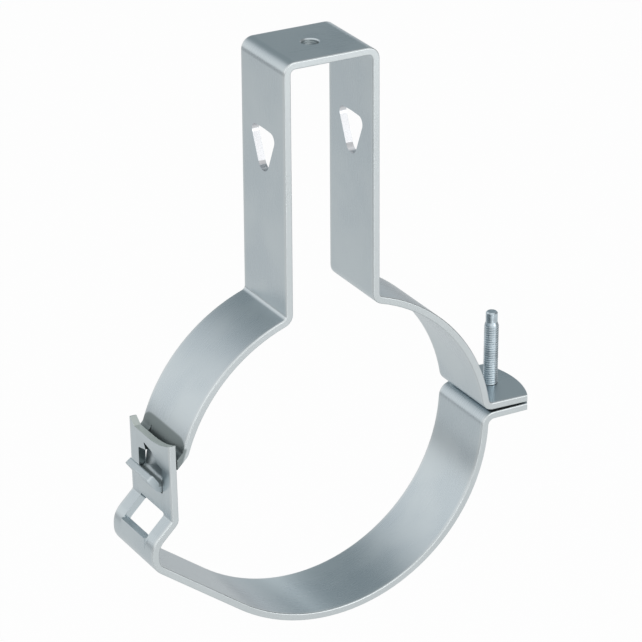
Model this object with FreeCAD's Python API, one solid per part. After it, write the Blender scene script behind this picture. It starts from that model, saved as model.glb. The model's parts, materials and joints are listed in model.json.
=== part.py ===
"""Adjustable pipe clamp for hanging a 135 mm pipe.

Two folded steel strips hook into each other at the left and are drawn together by one
screw through their flanges at the right. The upper strip is a bracket: half a ring
that runs up into two parallel legs joined by a top plate with a threaded hole.

Frame: the pipe's axis is Y, Z is up, X = 0 lies midway between the legs and Z = 0 at the
centre of the lower band. Lengths are in millimetres and angles in degrees.
"""
import FreeCAD, Part
import math
import os

# Strip stock
STRIP_WIDTH = 35.0
STRIP_THICKNESS = 3.0
STRIP_EDGE_ROUND = 0.5

# The ring, as two arcs that share the pipe
PIPE_RADIUS = 67.5
BRACKET_EASE = 0.4
BAND_EASE = 1.3
BRACKET_ARC_X = 1.2
BRACKET_ARC_Z = -4.9
BAND_ARC_X = -0.8

# Legs and top plate of the bracket
LEG_SPAN = 41.3
TOP_HEIGHT = 166.8
TOP_BEND = 2.0
FOOT_BEND = 2.0
TOP_THREAD_RADIUS = 3.4
TOP_THREAD_CHAMFER = 0.5

# Pick-shaped hole in each leg
LEG_HOLE_TOP = 135.2
LEG_HOLE_HEIGHT = 23.7
LEG_HOLE_HALF_WIDTH = 10.6
LEG_HOLE_CROWN = 0.5
LEG_HOLE_SHOULDER_BEND = 3.0
LEG_HOLE_TIP_BEND = 4.5

# Flanges that the screw draws together
SCREW_REACH = 9.8
FLANGE_OVERHANG = 11.1
FLANGE_END_RADIUS = 40.0
BRACKET_FLANGE_Z = 3.8
BRACKET_FLANGE_TILT = -0.7
BRACKET_FLANGE_BEND = 1.8
BAND_FLANGE_TILT = 0.7
BAND_FLANGE_BEND = 2.8
FLANGE_GAP = 0.9

# Hook at the left end of the bracket: two ears and a tongue
EAR_ARC_ANGLE = 163.2
EAR_LENGTH = 5.2
EAR_BEND = 2.0
EAR_SLOPE = 45.0
HOOK_SLIT_LEAD = 0.6
TONGUE_WIDTH = 19.5
TONGUE_SLIT = 0.4
TONGUE_BEND = 2.0
TONGUE_TIP_SLOPE = 126.0
TONGUE_TIP_REACH = 5.1
TONGUE_TIP_Z = 4.6
TONGUE_TIP_ROUND = 0.6

# Left end of the lower band: tab, shelf and heel
TAB_LEAN = 1.0
TAB_TOP = 20.2
TAB_NOTCH_DEPTH = 3.8
TAB_NOTCH_RADIUS = 47.0
TAB_BACK_EAR = 4.0
TAB_BACK_EAR_TOP = 19.0
TAB_BACK_EAR_SLANT = 0.5
SHELF_CORNER_Z = -12.8
SHELF_REACH = 8.8
SHELF_SLOPE = 45.0
SHELF_BEND = 1.2
SHELF_EDGE_BEND = 7.5
HEEL_HEIGHT = 8.6
HEEL_BEND = 5.0

# Windows of the lower band that take the tongue. The tab's window has a ledge in front and
# a slanting notch above it, set out from its back side and its top
WINDOW_CLEARANCE = 0.45
WINDOW_SILL_CLEARANCE = 0.8
WINDOW_CORNER = 1.0
TAB_WINDOW_TOP = 8.8
SHELF_SILL_HEIGHT = 5.1
NOTCH_FOOT_INSET = 6.4
NOTCH_FOOT_RISE = 1.3
NOTCH_FOOT_BEND = 0.2
NOTCH_PEAK_INSET = 4.6
NOTCH_PEAK_RISE = 4.2
NOTCH_PEAK_BEND = 0.4
NOTCH_FRONT_INSET = 11.7
NOTCH_FRONT_RISE = 2.9
LEDGE_WIDTH = 4.1
LEDGE_DROP = 0.9
LEDGE_BEND = 2.0

# Clearances
TAB_SEAT_GAP = 0.25
WASHER_SEAT_GAP = 0.25
HEAD_SEAT_GAP = 0.05
SCREW_CLEARANCE = 0.05

# Clamp screw, six-sided head below, and its washer
SCREW_RADIUS = 3.0
SCREW_LENGTH = 40.0
SCREW_POINT_RADIUS = 2.43
SCREW_POINT_LENGTH = 4.4
SCREW_POINT_CHAMFER = 0.5
HEAD_WIDTH = 10.0
HEAD_HEIGHT = 4.0
HEAD_CHAMFER = 0.6
WASHER_RADIUS = 6.0
WASHER_THICKNESS = 1.2
BAND_SLOT_CLEARANCE = 0.45
BAND_SLOT_TRAVEL = 3.0

# Values worked out from the sizes above
HALF = STRIP_THICKNESS / 2
TOLERANCE = 0.001
LEG_X = LEG_SPAN / 2 - HALF
BRACKET_ARC = PIPE_RADIUS + BRACKET_EASE + HALF
BAND_ARC = PIPE_RADIUS + BAND_EASE + HALF
BRACKET_CENTRE = (BRACKET_ARC_X, BRACKET_ARC_Z)
BAND_CENTRE = (BAND_ARC_X, 0.0)
SCREW_X = BRACKET_ARC_X + BRACKET_ARC + HALF + SCREW_REACH
FLANGE_END = SCREW_X + FLANGE_OVERHANG
BRACKET_FLANGE_POINT = (SCREW_X, BRACKET_FLANGE_Z)
BAND_FLANGE_POINT = (SCREW_X, BRACKET_FLANGE_Z - STRIP_THICKNESS - FLANGE_GAP)
SCREW_LEAN = BRACKET_FLANGE_TILT


def polar(centre, radius, angle):
    """Point at a distance and an angle from a centre, in the XZ plane."""
    turn = math.radians(angle)
    return (centre[0] + radius * math.cos(turn), centre[1] + radius * math.sin(turn))


def heading(p, q):
    """Direction of travel from p to q, in degrees."""
    return math.degrees(math.atan2(q[1] - p[1], q[0] - p[0]))


def turn_between(a, b):
    """Signed turn from heading a to heading b, between -180 and 180."""
    return (b - a + 180.0) % 360.0 - 180.0


def crossing(p, a, q, b):
    """Where the line through p at heading a meets the line through q at heading b."""
    ax, az = math.cos(math.radians(a)), math.sin(math.radians(a))
    bx, bz = math.cos(math.radians(b)), math.sin(math.radians(b))
    run = ((q[0] - p[0]) * bz - (q[1] - p[1]) * bx) / (ax * bz - az * bx)
    return (p[0] + run * ax, p[1] + run * az)


class Run:
    """Middle line of a folded strip: straight runs and arcs, each tangent to the last."""

    def __init__(self, start, angle):
        self.at = start
        self.angle = angle
        self.parts = []

    def line_to(self, end):
        self.parts.append(("line", self.at, end))
        self.at = end
        return self

    def arc(self, centre, radius, sweep):
        """Turn about a centre by a signed angle, left turns counting as positive."""
        first = heading(centre, self.at)
        self.parts.append(("arc", centre, radius, first, first + sweep))
        self.at = polar(centre, radius, first + sweep)
        self.angle += sweep
        return self

    def bend(self, corner, new_angle, inside):
        """Go straight towards a corner and round it, onto a new heading."""
        sweep = turn_between(self.angle, new_angle)
        radius = inside + HALF
        cut = radius * math.tan(math.radians(abs(sweep) / 2))
        self.line_to(polar(corner, cut, self.angle + 180.0))
        side = 90.0 if sweep > 0 else -90.0
        return self.arc(polar(self.at, radius, self.angle + side), radius, sweep)

    def forward(self, length):
        return self.line_to(polar(self.at, length, self.angle))

    def face(self, offset):
        """Edges of the surface that lies an offset to the left of the middle line."""
        edges = []
        for part in self.parts:
            if part[0] == "line":
                normal = heading(part[1], part[2]) + 90.0
                ends = [polar(p, offset, normal) for p in part[1:]]
                edges.append(Part.LineSegment(vector(ends[0]), vector(ends[1])).toShape())
                continue
            centre, radius, first, last = part[1:]
            inner = radius - offset if last > first else radius + offset
            stops = [polar(centre, inner, a) for a in (first, (first + last) / 2, last)]
            edges.append(Part.Arc(*[vector(p) for p in stops]).toShape())
        return edges

    def strip(self, low, high):
        """Solid strip of stock thickness along the middle line, from Y low to Y high.

        A side that is the stock's own rolled edge is rounded, and a slit side stays sharp.
        """
        left, right = self.face(HALF), self.face(-HALF)
        caps = [Part.LineSegment(end_of(right, at), end_of(left, at)).toShape() for at in (0, -1)]
        wire = Part.Wire(Part.__sortEdges__(left + right + caps))
        solid = Part.Face(wire).extrude(FreeCAD.Vector(0, high - low, 0))
        solid.translate(FreeCAD.Vector(0, low, 0))
        cap_middles = [(cap.valueAt(cap.FirstParameter) + cap.valueAt(cap.LastParameter)) / 2
                       for cap in caps]
        rolled = [edge for edge in solid.Edges if is_rolled_edge(edge, cap_middles)]
        return solid.makeFillet(STRIP_EDGE_ROUND, rolled) if rolled else solid


def vector(point):
    return FreeCAD.Vector(point[0], 0, point[1])


def is_rolled_edge(edge, cap_middles):
    """Whether an edge of a strip runs along the stock's side, and isn't one of its cut ends."""
    box = edge.BoundBox
    on_side = box.YLength < TOLERANCE and abs(abs(box.YMin) - STRIP_WIDTH / 2) < TOLERANCE
    middle = FreeCAD.Vector(edge.CenterOfMass.x, 0, edge.CenterOfMass.z)
    return on_side and all((middle - cap).Length > TOLERANCE for cap in cap_middles)


def end_of(edges, at):
    """First point of the first edge, or last point of the last one."""
    edge = edges[at]
    return edge.valueAt(edge.FirstParameter if at == 0 else edge.LastParameter)


def ring_bend_centre(centre, arc, point, angle, bend, side):
    """Centre of a bend that touches the ring from outside and a line at one side of it.

    The line runs through a point at an angle, and side is +1 for the centre on its left.
    Of the two places, the one nearer the point is taken.
    """
    shifted = polar(point, bend * side, angle + 90.0)
    ax, az = math.cos(math.radians(angle)), math.sin(math.radians(angle))
    dx, dz = shifted[0] - centre[0], shifted[1] - centre[1]
    along = dx * ax + dz * az
    reach = math.sqrt((arc + bend) ** 2 - (dx * dx + dz * dz) + along * along)
    return min((polar(shifted, -along + s * reach, angle) for s in (-1, 1)),
               key=lambda p: math.dist(p, point))


def rounded(points, radii):
    """Closed wire through corner points in the XZ plane, each rounded by its own radius."""
    edges, count, ends = [], len(points), []
    for i, (corner, radius) in enumerate(zip(points, radii)):
        before, after = points[i - 1], points[(i + 1) % count]
        into, out = heading(before, corner), heading(corner, after)
        sweep = turn_between(into, out)
        cut = radius * math.tan(math.radians(abs(sweep) / 2))
        first, last = polar(corner, cut, into + 180.0), polar(corner, cut, out)
        ends.append((first, last))
        if radius > 0:
            side = 90.0 if sweep > 0 else -90.0
            centre = polar(first, radius, into + side)
            middle = polar(centre, radius, heading(centre, corner))
            edges.append(Part.Arc(*[vector(p) for p in (first, middle, last)]).toShape())
    for i in range(count):
        line = Part.LineSegment(vector(ends[i][1]), vector(ends[(i + 1) % count][0]))
        edges.append(line.toShape())
    return Part.Wire(Part.__sortEdges__(edges))


def punch(wire, depth, origin, normal, up):
    """Cutter with an XZ outline: its Z goes along up and its Y along normal, both ways."""
    solid = Part.Face(wire).extrude(FreeCAD.Vector(0, 2 * depth, 0))
    solid.translate(FreeCAD.Vector(0, -depth, 0))
    across = normal.cross(up)
    turned = FreeCAD.Matrix(across.x, normal.x, up.x, origin.x,
                            across.y, normal.y, up.y, origin.y,
                            across.z, normal.z, up.z, origin.z,
                            0, 0, 0, 1)
    return solid.transformShape(turned)


def flange_trim(tip_x):
    """Cutter that leaves a flange with a convex end, curved across the strip."""
    reach = STRIP_WIDTH
    keep = Part.makeCylinder(FLANGE_END_RADIUS, 4 * reach,
                             FreeCAD.Vector(tip_x - FLANGE_END_RADIUS, 0, -2 * reach))
    block = Part.makeBox(2 * reach, 2 * reach, 4 * reach,
                         FreeCAD.Vector(tip_x - reach / 2, -reach, -2 * reach))
    return block.cut(keep)


def screw_place():
    """Foot of the screw's axis on the bracket flange's middle, and its direction."""
    lean = math.radians(-SCREW_LEAN)
    return vector(BRACKET_FLANGE_POINT), FreeCAD.Vector(math.sin(lean), 0, math.cos(lean))


def leg_foot(x, angle, side):
    """Bend centre between a leg at x and the bracket's arc."""
    return ring_bend_centre(BRACKET_CENTRE, BRACKET_ARC, (x, BRACKET_ARC), angle,
                            FOOT_BEND + HALF, side)


def ear_line_point():
    """Where the ears' middle line crosses the bracket's arc, before it is rounded."""
    return polar(BRACKET_CENTRE, BRACKET_ARC, EAR_ARC_ANGLE)


def ear_end():
    return polar(ear_line_point(), EAR_LENGTH, EAR_SLOPE + 180.0)


def ear_bend_centre():
    """Centre of the ears' bend, which touches the bracket's arc from outside."""
    return ring_bend_centre(BRACKET_CENTRE, BRACKET_ARC, ear_line_point(), EAR_SLOPE + 180.0,
                            EAR_BEND + HALF, -1)


def tab_inner_x(z):
    """Inner face of the band's tab, which leans outwards about the ears' seat."""
    seat = ear_end()
    return seat[0] - TAB_SEAT_GAP - (z - seat[1]) * math.tan(math.radians(TAB_LEAN))


def tongue_tip():
    """Middle of the tongue's end, which stands a reach outside the tab's outer face."""
    outer = tab_inner_x(TONGUE_TIP_Z) - STRIP_THICKNESS / math.cos(math.radians(TAB_LEAN))
    return (outer - TONGUE_TIP_REACH, TONGUE_TIP_Z)


def tongue_bend_centre():
    """Centre of the tongue's hook, which hangs on the outside of the bracket's arc."""
    return ring_bend_centre(BRACKET_CENTRE, BRACKET_ARC, tongue_tip(), TONGUE_TIP_SLOPE,
                            TONGUE_BEND + HALF, -1)


def hook_angle():
    """Angle on the bracket's arc where its strip is slit in three, a lead before the ears' bend."""
    lead = math.degrees(HOOK_SLIT_LEAD / BRACKET_ARC)
    return heading(BRACKET_CENTRE, ear_bend_centre()) - lead


def bracket_run():
    """Middle line of the bracket, from the right flange over the legs to the hook."""
    flange_heading = 180.0 + BRACKET_FLANGE_TILT
    bend = BRACKET_FLANGE_BEND + HALF
    centre = ring_bend_centre(BRACKET_CENTRE, BRACKET_ARC, BRACKET_FLANGE_POINT,
                              flange_heading, bend, -1)
    start = polar(BRACKET_FLANGE_POINT, FLANGE_END + STRIP_WIDTH - SCREW_X, BRACKET_FLANGE_TILT)
    run = Run(start, flange_heading)
    run.line_to(polar(centre, bend, flange_heading + 90.0))
    meet = heading(BRACKET_CENTRE, centre)
    run.arc(centre, bend, turn_between(flange_heading, meet + 90.0))
    right_foot = leg_foot(LEG_X, 90.0, -1)
    left_foot = leg_foot(-LEG_X, 270.0, -1)
    foot_bend = FOOT_BEND + HALF
    right_meet = heading(BRACKET_CENTRE, right_foot)
    left_meet = heading(BRACKET_CENTRE, left_foot)
    run.arc(BRACKET_CENTRE, BRACKET_ARC, right_meet - meet)
    run.arc(right_foot, foot_bend, turn_between(right_meet + 90.0, 90.0))
    run.bend((LEG_X, TOP_HEIGHT - HALF), 180.0, TOP_BEND)
    run.bend((-LEG_X, TOP_HEIGHT - HALF), 270.0, TOP_BEND)
    run.line_to((-LEG_X, left_foot[1]))
    run.arc(left_foot, foot_bend, turn_between(270.0, left_meet + 90.0))
    run.arc(BRACKET_CENTRE, BRACKET_ARC, hook_angle() - left_meet)
    return run


def hook_start():
    """A new middle line that goes on where the bracket's strip is slit in three."""
    return Run(polar(BRACKET_CENTRE, BRACKET_ARC, hook_angle()), hook_angle() + 90.0)


def ear_run():
    """Middle line of the two ears, which turn out to the band's tab."""
    down = EAR_SLOPE + 180.0
    centre = ear_bend_centre()
    meet = heading(BRACKET_CENTRE, centre)
    run = hook_start().arc(BRACKET_CENTRE, BRACKET_ARC, meet - hook_angle())
    run.arc(centre, EAR_BEND + HALF, turn_between(meet + 90.0, down))
    return run.line_to(polar(ear_end(), STRIP_THICKNESS, down))


def tongue_run():
    """Middle line of the tongue, which hooks out through the band's window and up."""
    centre = tongue_bend_centre()
    meet = heading(BRACKET_CENTRE, centre) % 360.0
    run = hook_start().arc(BRACKET_CENTRE, BRACKET_ARC, meet - hook_angle())
    run.arc(centre, TONGUE_BEND + HALF, TONGUE_TIP_SLOPE - (meet + 90.0))
    return run.line_to(tongue_tip())


def make_tongue():
    """The tongue, with the edges of its end broken."""
    edge = TONGUE_WIDTH / 2
    solid = tongue_run().strip(-edge, edge)
    tip = vector(tongue_tip())
    end = min(solid.Faces, key=lambda face: (face.CenterOfMass - tip).Length)
    return solid.makeFillet(TONGUE_TIP_ROUND, end.Edges)


def leg_holes():
    """Cutter for the pick-shaped hole through both legs."""
    top, wide = LEG_HOLE_TOP, LEG_HOLE_HALF_WIDTH
    corners = [(0, top - LEG_HOLE_HEIGHT), (wide, top), (0, top + LEG_HOLE_CROWN), (-wide, top)]
    bends = [LEG_HOLE_TIP_BEND, LEG_HOLE_SHOULDER_BEND, LEG_SPAN, LEG_HOLE_SHOULDER_BEND]
    return punch(rounded(corners, bends), LEG_SPAN, FreeCAD.Vector(0, 0, 0),
                 FreeCAD.Vector(1, 0, 0), FreeCAD.Vector(0, 0, 1))


def make_bracket():
    edge = STRIP_WIDTH / 2
    tongue_edge = TONGUE_WIDTH / 2
    slit_edge = tongue_edge + TONGUE_SLIT
    body = bracket_run().strip(-edge, edge)
    ears = ear_run()
    pieces = [ears.strip(-edge, -slit_edge), ears.strip(slit_edge, edge)]
    seat = ear_end()
    lean = math.radians(TAB_LEAN)
    beyond = punch(rounded([(-edge, -edge), (0, -edge), (0, edge), (-edge, edge)], [0] * 4),
                   STRIP_WIDTH, vector(seat), FreeCAD.Vector(0, 1, 0),
                   FreeCAD.Vector(-math.sin(lean), 0, math.cos(lean)))
    pieces = [piece.cut(beyond) for piece in pieces]
    solid = body.multiFuse(pieces + [make_tongue()]).removeSplitter()
    solid = solid.cut(flange_trim(FLANGE_END)).cut(leg_holes())
    top = FreeCAD.Vector(0, 0, TOP_HEIGHT)
    wide = TOP_THREAD_RADIUS + TOP_THREAD_CHAMFER
    down = FreeCAD.Vector(0, 0, -1)
    solid = solid.cut(Part.makeCylinder(TOP_THREAD_RADIUS, 2 * STRIP_THICKNESS, top, down))
    solid = solid.cut(Part.makeCone(wide, TOP_THREAD_RADIUS, TOP_THREAD_CHAMFER, top, down))
    foot, axis = screw_place()
    bore = Part.makeCylinder(SCREW_RADIUS + SCREW_CLEARANCE, 4 * STRIP_THICKNESS,
                             foot - axis * 2 * STRIP_THICKNESS, axis)
    return solid.cut(bore)


def shelf_ends():
    """Corners of the shelf's middle line, below the tab and above the heel."""
    tab_x = tab_inner_x(SHELF_CORNER_Z) - HALF / math.cos(math.radians(TAB_LEAN))
    drop = SHELF_REACH * math.tan(math.radians(SHELF_SLOPE))
    return (tab_x, SHELF_CORNER_Z), (tab_x - SHELF_REACH, SHELF_CORNER_Z - drop)


def shelf_bend_cut():
    """Length that the bend above the heel takes off the shelf and off the heel."""
    return (SHELF_EDGE_BEND + HALF) * math.tan(math.radians((90.0 - SHELF_SLOPE) / 2))


def band_run():
    """Middle line of the lower band, from the tab's top round the ring to the flange."""
    down = 270.0 + TAB_LEAN
    slope = SHELF_SLOPE + 180.0
    shelf_top, shelf_foot = shelf_ends()
    top = crossing(shelf_top, down, (shelf_top[0], TAB_TOP + STRIP_THICKNESS), 0.0)
    heel = (shelf_foot[0], shelf_foot[1] - HEEL_HEIGHT)
    away = math.dist(heel, BAND_CENTRE)
    touch = heading(BAND_CENTRE, heel) % 360.0 + math.degrees(math.acos(BAND_ARC / away))
    run = Run(top, down)
    run.bend(shelf_top, slope, SHELF_BEND)
    run.bend(shelf_foot, 270.0, SHELF_EDGE_BEND)
    run.bend(heel, touch + 90.0, HEEL_BEND)
    run.line_to(polar(BAND_CENTRE, BAND_ARC, touch))
    bend = BAND_FLANGE_BEND + HALF
    centre = ring_bend_centre(BAND_CENTRE, BAND_ARC, BAND_FLANGE_POINT, BAND_FLANGE_TILT,
                              bend, -1)
    meet = heading(BAND_CENTRE, centre) % 360.0
    run.arc(BAND_CENTRE, BAND_ARC, meet - touch)
    run.arc(centre, bend, turn_between(meet + 90.0, BAND_FLANGE_TILT))
    return run.forward(FLANGE_END + STRIP_WIDTH - run.at[0])


def tab_window():
    """Cutter for the lock window in the tab, with its notch above and its ledge in front."""
    side = TONGUE_WIDTH / 2 + WINDOW_CLEARANCE
    hook = tongue_bend_centre()
    sill = hook[1] - TONGUE_BEND - STRIP_THICKNESS - WINDOW_SILL_CLEARANCE
    top = TAB_WINDOW_TOP
    corners = [(-side, sill), (side, sill), (side, top),
               (side - NOTCH_FOOT_INSET, top + NOTCH_FOOT_RISE),
               (side - NOTCH_PEAK_INSET, top + NOTCH_PEAK_RISE),
               (side - NOTCH_FRONT_INSET, top + NOTCH_FRONT_RISE),
               (LEDGE_WIDTH - side, top - LEDGE_DROP), (-side, top - LEDGE_DROP)]
    bends = [WINDOW_CORNER, WINDOW_CORNER, WINDOW_CORNER, NOTCH_FOOT_BEND, NOTCH_PEAK_BEND,
             WINDOW_CORNER, LEDGE_BEND, WINDOW_CORNER]
    return punch(rounded([(-y, z) for y, z in corners], bends), 2 * STRIP_THICKNESS,
                 vector((tab_inner_x(0) - HALF, 0)), FreeCAD.Vector(1, 0, 0),
                 FreeCAD.Vector(0, 0, 1))


def shelf_window():
    """Cutter for the second lock window, down the shelf's slope and into the bend below it."""
    side = TONGUE_WIDTH / 2 + WINDOW_CLEARANCE
    shelf_top, shelf_foot = shelf_ends()
    radius = SHELF_EDGE_BEND + HALF
    bend_start = polar(shelf_foot, shelf_bend_cut(), SHELF_SLOPE)
    slope = math.radians(SHELF_SLOPE)
    up = FreeCAD.Vector(math.cos(slope), 0, math.sin(slope))
    normal = FreeCAD.Vector(math.sin(slope), 0, -math.cos(slope))
    length = math.dist(shelf_top, bend_start)
    corners = [(-side, -length), (side, -length), (side, 0), (-side, 0)]
    wire = rounded(corners, [WINDOW_CORNER] * 4)
    slot = punch(wire, 2 * STRIP_THICKNESS, vector(shelf_top), normal, up)
    first, last = SHELF_SLOPE + 90.0, 180.0
    centre = polar(bend_start, radius, first + 180.0)
    near, far = radius - STRIP_THICKNESS, radius + STRIP_THICKNESS
    outline = [polar(centre, near, last), polar(centre, far, last),
               polar(polar(centre, far, first), WINDOW_CORNER, SHELF_SLOPE),
               polar(polar(centre, near, first), WINDOW_CORNER, SHELF_SLOPE)]
    wire = Part.makePolygon([vector(p) for p in outline + outline[:1]])
    foot = Part.Face(wire).extrude(FreeCAD.Vector(0, 2 * side, 0))
    foot.translate(FreeCAD.Vector(0, -side, 0))
    return slot.fuse(foot)


def shelf_sill():
    """Sill of the second lock window: it stands straight up from the heel where the bend leaves it."""
    side = TONGUE_WIDTH / 2 + WINDOW_CLEARANCE
    shelf_foot = shelf_ends()[1]
    corner = FreeCAD.Vector(shelf_foot[0] - HALF, -side, shelf_foot[1] - shelf_bend_cut())
    return Part.makeBox(STRIP_THICKNESS, 2 * side, SHELF_SILL_HEIGHT, corner)


def tab_top_trim():
    """Cutter that shapes the tab's top edge: flat behind, curved up towards the front."""
    edge = STRIP_WIDTH / 2
    low = TAB_TOP - TAB_NOTCH_DEPTH
    rise = TAB_NOTCH_RADIUS - TAB_NOTCH_DEPTH
    reach = math.sqrt(TAB_NOTCH_RADIUS ** 2 - rise ** 2)
    turn = edge - reach
    ear = TAB_BACK_EAR
    box_top = TAB_TOP + edge
    middle = math.degrees(math.asin(reach / TAB_NOTCH_RADIUS)) / 2
    centre = (turn, low + TAB_NOTCH_RADIUS)
    stops = [vector(p) for p in ((turn, low), polar(centre, TAB_NOTCH_RADIUS, middle - 90.0),
                                 (edge, TAB_TOP))]
    corners = [(edge, TAB_TOP), (edge + ear, TAB_TOP), (edge + ear, box_top),
               (-edge - ear, box_top), (-edge - ear, TAB_BACK_EAR_TOP),
               (-edge + TAB_BACK_EAR_SLANT, TAB_BACK_EAR_TOP), (-edge + ear, low), (turn, low)]
    edges = [Part.LineSegment(vector(a), vector(b)).toShape() for a, b in
             zip(corners, corners[1:])]
    wire = Part.Wire(Part.__sortEdges__(edges + [Part.Arc(*stops).toShape()]))
    return punch(wire, 4 * STRIP_THICKNESS, vector((tab_inner_x(TAB_TOP), 0)),
                 FreeCAD.Vector(1, 0, 0), FreeCAD.Vector(0, 0, 1))


def band_slot():
    """Cutter for the flange's slot, which lets the band swing past the screw."""
    radius = SCREW_RADIUS + BAND_SLOT_CLEARANCE
    foot, axis = screw_place()
    deep = 4 * STRIP_THICKNESS
    low = foot - axis * 2 * deep
    ends = [low, low + FreeCAD.Vector(BAND_SLOT_TRAVEL, 0, 0)]
    rounds = [Part.makeCylinder(radius, 2 * deep, end, axis) for end in ends]
    middle = Part.makeBox(BAND_SLOT_TRAVEL, 2 * radius, 2 * deep,
                          FreeCAD.Vector(0, -radius, 0))
    middle.rotate(FreeCAD.Vector(0, 0, 0), FreeCAD.Vector(0, 1, 0), -SCREW_LEAN)
    middle.translate(low)
    return rounds[0].multiFuse([rounds[1], middle])


def make_band():
    edge = STRIP_WIDTH / 2
    solid = band_run().strip(-edge, edge)
    for cutter in (flange_trim(FLANGE_END), tab_window(), shelf_window(), tab_top_trim(),
                   band_slot()):
        solid = solid.cut(cutter)
    return solid.fuse(shelf_sill()).removeSplitter()


def washer_seat():
    """Height along the screw's axis of the washer's upper face."""
    tilt = math.radians(BAND_FLANGE_TILT - BRACKET_FLANGE_TILT)
    under = HALF + FLANGE_GAP + STRIP_THICKNESS / math.cos(tilt)
    return -under - WASHER_SEAT_GAP


def make_washer():
    foot, axis = screw_place()
    top = foot + axis * washer_seat()
    outer = Part.makeCylinder(WASHER_RADIUS, WASHER_THICKNESS, top, axis * -1)
    bore = Part.makeCylinder(SCREW_RADIUS + SCREW_CLEARANCE, WASHER_THICKNESS, top, axis * -1)
    return outer.cut(bore)


def make_screw():
    foot, axis = screw_place()
    seat = washer_seat() - WASHER_THICKNESS - HEAD_SEAT_GAP
    corner = HEAD_WIDTH / 2 / math.cos(math.radians(30))
    shank = SCREW_LENGTH - SCREW_POINT_LENGTH - (SCREW_RADIUS - SCREW_POINT_RADIUS)
    outline = [(0, 0), (SCREW_RADIUS, 0), (SCREW_RADIUS, shank),
               (SCREW_POINT_RADIUS, SCREW_LENGTH - SCREW_POINT_LENGTH),
               (SCREW_POINT_RADIUS, SCREW_LENGTH - SCREW_POINT_CHAMFER),
               (SCREW_POINT_RADIUS - SCREW_POINT_CHAMFER, SCREW_LENGTH), (0, SCREW_LENGTH), (0, 0)]
    stem = Part.Face(Part.makePolygon([vector(p) for p in outline])).revolve(
        FreeCAD.Vector(0, 0, 0), FreeCAD.Vector(0, 0, 1), 360)
    sides = [polar((0, 0), corner, 60 * i) for i in range(7)]
    head = Part.Face(Part.makePolygon([FreeCAD.Vector(x, y, 0) for x, y in sides])).extrude(
        FreeCAD.Vector(0, 0, -HEAD_HEIGHT))
    lathe = Part.makeCone(corner - HEAD_CHAMFER, corner - HEAD_CHAMFER + HEAD_HEIGHT,
                          HEAD_HEIGHT, FreeCAD.Vector(0, 0, -HEAD_HEIGHT))
    solid = stem.fuse(head.common(lathe)).removeSplitter()
    solid.rotate(FreeCAD.Vector(0, 0, 0), FreeCAD.Vector(0, 1, 0), -SCREW_LEAN)
    solid.translate(foot + axis * seat)
    return solid


PIECES = {
    "upper_bracket": make_bracket,
    "lower_band": make_band,
    "retaining_washer": make_washer,
    "clamp_screw": make_screw,
}

os.makedirs("parts", exist_ok=True)
for name, make in PIECES.items():
    shape = make()
    print(name, len(shape.Solids), "solid", round(shape.Volume, 1), "mm3", shape.isValid())
    shape.Solids[0].exportStep("parts/%s.step" % name)
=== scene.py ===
"""Looks of an adjustable pipe clamp: plated strips, threaded screw, studio and camera."""

import json
import math

import bpy
import numpy as np
from mathutils import Matrix, Vector


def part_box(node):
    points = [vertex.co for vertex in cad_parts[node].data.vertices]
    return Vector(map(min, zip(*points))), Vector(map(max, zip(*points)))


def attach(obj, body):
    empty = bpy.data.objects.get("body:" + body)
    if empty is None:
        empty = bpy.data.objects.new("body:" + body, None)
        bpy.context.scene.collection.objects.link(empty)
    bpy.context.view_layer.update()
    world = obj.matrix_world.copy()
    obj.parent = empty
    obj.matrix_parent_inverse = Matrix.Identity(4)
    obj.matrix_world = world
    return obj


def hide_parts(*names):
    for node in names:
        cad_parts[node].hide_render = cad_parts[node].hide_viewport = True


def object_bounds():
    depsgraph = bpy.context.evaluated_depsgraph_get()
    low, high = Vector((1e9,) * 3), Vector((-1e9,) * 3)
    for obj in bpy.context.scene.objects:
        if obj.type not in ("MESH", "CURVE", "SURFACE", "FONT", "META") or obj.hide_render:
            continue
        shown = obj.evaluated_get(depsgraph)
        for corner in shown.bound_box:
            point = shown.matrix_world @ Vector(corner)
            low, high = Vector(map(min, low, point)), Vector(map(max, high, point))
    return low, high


bl_info = {
    "name": "Pipe clamp looks",
    "version": (1, 0, 0),
    "blender": (4, 5, 0),
    "location": "3D View > Sidebar > Pipe clamp",
    "description": "Finishes the strips, screw and washer of a pipe clamp and sets its studio",
    "category": "Object",
}

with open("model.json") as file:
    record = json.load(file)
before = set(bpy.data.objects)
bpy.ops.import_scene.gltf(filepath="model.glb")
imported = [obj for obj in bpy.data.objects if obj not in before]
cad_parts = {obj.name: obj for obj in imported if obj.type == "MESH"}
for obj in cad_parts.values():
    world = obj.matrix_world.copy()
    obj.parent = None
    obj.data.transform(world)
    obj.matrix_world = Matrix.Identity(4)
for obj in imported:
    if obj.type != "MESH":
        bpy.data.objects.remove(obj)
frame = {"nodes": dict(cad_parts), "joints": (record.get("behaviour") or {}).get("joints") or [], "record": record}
CAD_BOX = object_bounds()

JOINTS = {joint["name"]: joint for joint in frame["joints"]}
HANGING_THREAD = next(m for m in frame["record"]["mounts"] if m["name"] == "hanging_thread")

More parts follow.
